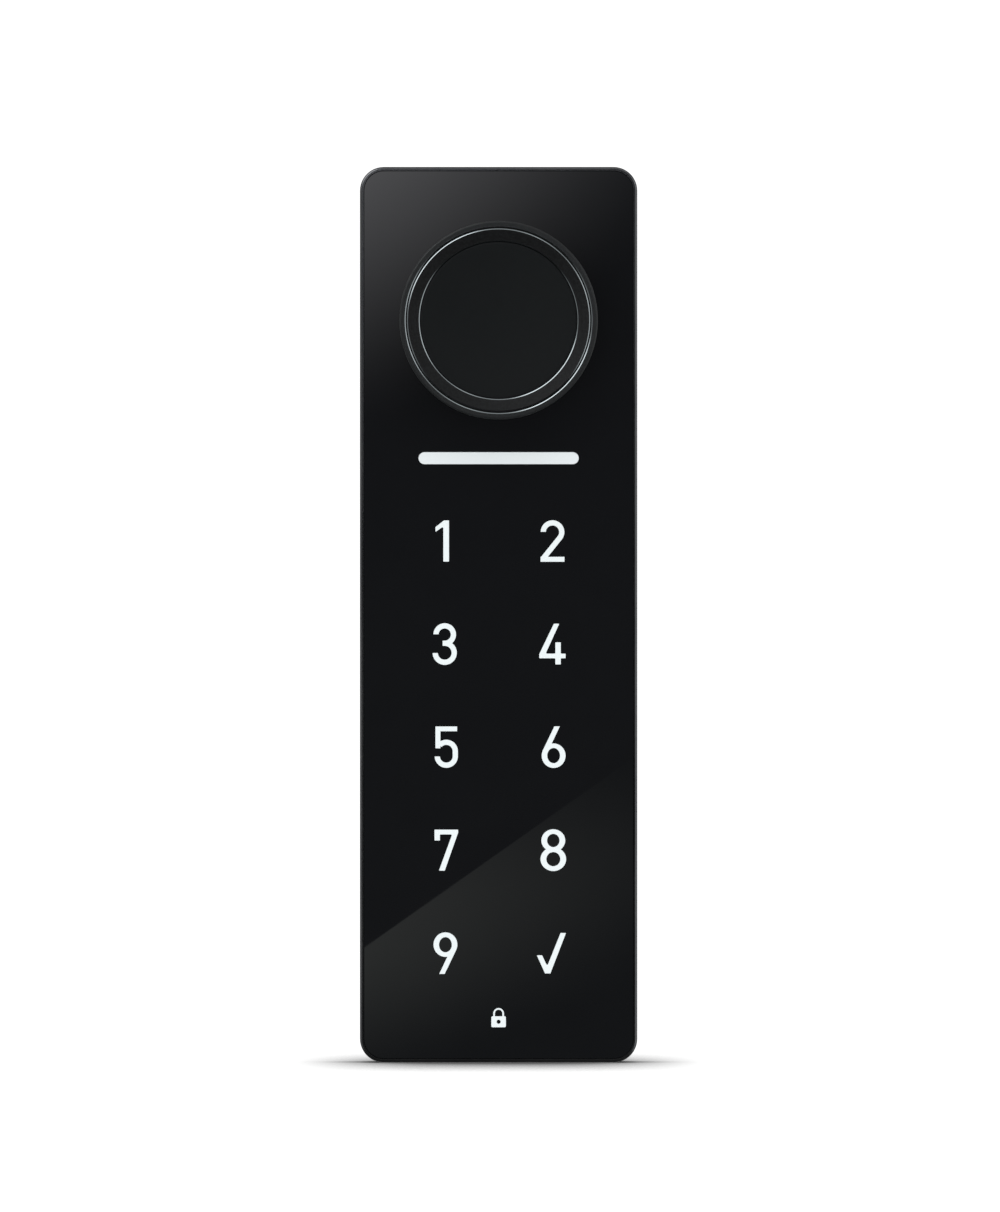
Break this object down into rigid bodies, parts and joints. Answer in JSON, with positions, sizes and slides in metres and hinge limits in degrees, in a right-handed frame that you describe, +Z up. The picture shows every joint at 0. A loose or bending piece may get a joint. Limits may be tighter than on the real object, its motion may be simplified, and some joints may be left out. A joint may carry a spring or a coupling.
{
  "type": "keypad smart lock",
  "caption": "Slim upright touch keypad door lock with a glossy black panel, a round hand knob at the top, a status light bar and a battery cassette in its base.",
  "frame": {"origin": "spindle and knob axis where it crosses the door face", "axes": "+Z up along the long side of the unit, -Y out of the door towards the user, +X to the user's right"},
  "size_m": [0.07, 0.084, 0.226],
  "materials": {
    "anodised_housing": "bead-blasted and black anodised aluminium die casting",
    "touch_glass": "polished tempered glass, black painted on its back",
    "white_legend": "white diffusing inlay under the same polish as the glass",
    "light_bar_diffuser": "opal polycarbonate light pipe",
    "knob_coat": "fine-textured matte black powder coat",
    "knob_cap_plastic": "satin black moulded polycarbonate",
    "zinc_steel": "zinc plated pressed steel",
    "black_screw": "black oxide steel screw",
    "bright_screw": "zinc plated steel screw",
    "black_rubber": "moulded EPDM rubber",
    "bonding_tape": "black acrylic foam tape",
    "sensor_film": "polyimide film with printed copper pads",
    "acrylic_guide": "clear injection moulded acrylic",
    "led_package": "white LED package with yellow phosphor",
    "circuit_board": "glass epoxy laminate with green solder mask",
    "chip_epoxy": "moulded black epoxy",
    "radio_shield": "tin plated steel shield can on a green laminate",
    "capacitor_can": "impact extruded aluminium can with printed sleeve",
    "nylon_white": "natural nylon",
    "phosphor_bronze": "nickel flashed phosphor bronze strip",
    "black_abs": "spark-textured black ABS",
    "cell_jacket": "printed jacket on an alkaline cell",
    "spring_steel": "nickel plated spring steel",
    "sintered_bronze": "oil-filled sintered bronze",
    "ptfe": "PTFE sheet",
    "sintered_steel": "sintered and oiled steel",
    "acetal_fork": "injection moulded acetal",
    "brass_gear": "hobbed brass",
    "gearbox_brass": "brass gearbox plates",
    "motor_steel": "nickel plated deep drawn steel",
    "lead_pvc": "PVC insulated twin lead"
  },
  "bodies": {
    "lock_body": {"housing": "anodised_housing", "touch_panel": "touch_glass", "panel_tape": "bonding_tape", "touch_film": "sensor_film", "status_light_bar": "light_bar_diffuser", "light_guide": "acrylic_guide", "board_leds": "led_package", "main_board": "circuit_board", "board_screws": "bright_screw", "board_chips": "chip_epoxy", "radio_module": "radio_shield", "buzzer": "chip_epoxy", "storage_capacitor": "capacitor_can", "motor_connector": "nylon_white", "motor_lead": "lead_pvc", "door_gasket": "black_rubber", "back_plate": "zinc_steel", "back_plate_screws": "bright_screw", "fixing_posts": "bright_screw", "knob_bush": "sintered_bronze", "thrust_washer": "ptfe", "knob_seal": "black_rubber", "spindle_bush": "sintered_bronze", "fork_guide_pin": "spring_steel", "motor_gearbox": "gearbox_brass", "motor_can": "motor_steel", "motor_bracket": "zinc_steel", "battery_bay": "black_abs", "battery_terminals": "phosphor_bronze", "legend_1": "white_legend", "legend_2": "white_legend", "legend_3": "white_legend", "legend_4": "white_legend", "legend_5": "white_legend", "legend_6": "white_legend", "legend_7": "white_legend", "legend_8": "white_legend", "legend_9": "white_legend", "legend_check": "white_legend", "lock_mark": "white_legend"},
    "knob": {"knob_body": "knob_coat", "knob_cap": "knob_cap_plastic", "knob_screw": "black_screw", "knob_shaft": "sintered_steel"},
    "spindle_drive": {"spindle_hub": "sintered_steel", "spindle": "zinc_steel", "spindle_grub_screw": "black_screw"},
    "clutch_collar": {"clutch_collar": "sintered_steel"},
    "shift_fork": {"shift_fork": "acetal_fork"},
    "motor_pinion": {"motor_pinion": "brass_gear"},
    "battery_cassette": {"battery_tray": "black_abs", "battery_hatch": "black_abs", "hatch_screws": "black_screw", "hatch_seal": "black_rubber", "battery_cell_1": "cell_jacket", "battery_cell_2": "cell_jacket", "battery_cell_3": "cell_jacket", "battery_cell_4": "cell_jacket", "battery_springs": "spring_steel", "battery_contacts": "phosphor_bronze"}
  },
  "joints": [
    {"name": "knob_turn", "type": "hinge", "parent": "lock_body", "child": "knob", "pos_m": [0, -0.03, 0], "axis": [0, 1, 0], "continuous": true},
    {"name": "spindle_turn", "type": "hinge", "parent": "lock_body", "child": "spindle_drive", "pos_m": [0, 0, 0], "axis": [0, 1, 0], "continuous": true},
    {"name": "pinion_turn", "type": "hinge", "parent": "lock_body", "child": "motor_pinion", "pos_m": [0.006, -0.011, -0.026], "axis": [1, 0, 0], "range_deg": [0, 47.75]},
    {"name": "fork_slide", "type": "slide", "parent": "lock_body", "child": "shift_fork", "axis": [0, -1, 0], "range_m": [0, 0.002]},
    {"name": "clutch_slide", "type": "slide", "parent": "spindle_drive", "child": "clutch_collar", "axis": [0, -1, 0], "range_m": [0, 0.002]},
    {"name": "battery_slide", "type": "slide", "parent": "lock_body", "child": "battery_cassette", "axis": [0, 0, -1], "range_m": [0, 0.055]}
  ],
  "couplings": [
    {"joint": "pinion_turn", "follows": "fork_slide", "rad_per_m": 416.67},
    {"joint": "clutch_slide", "follows": "fork_slide", "ratio": 1}
  ]
}
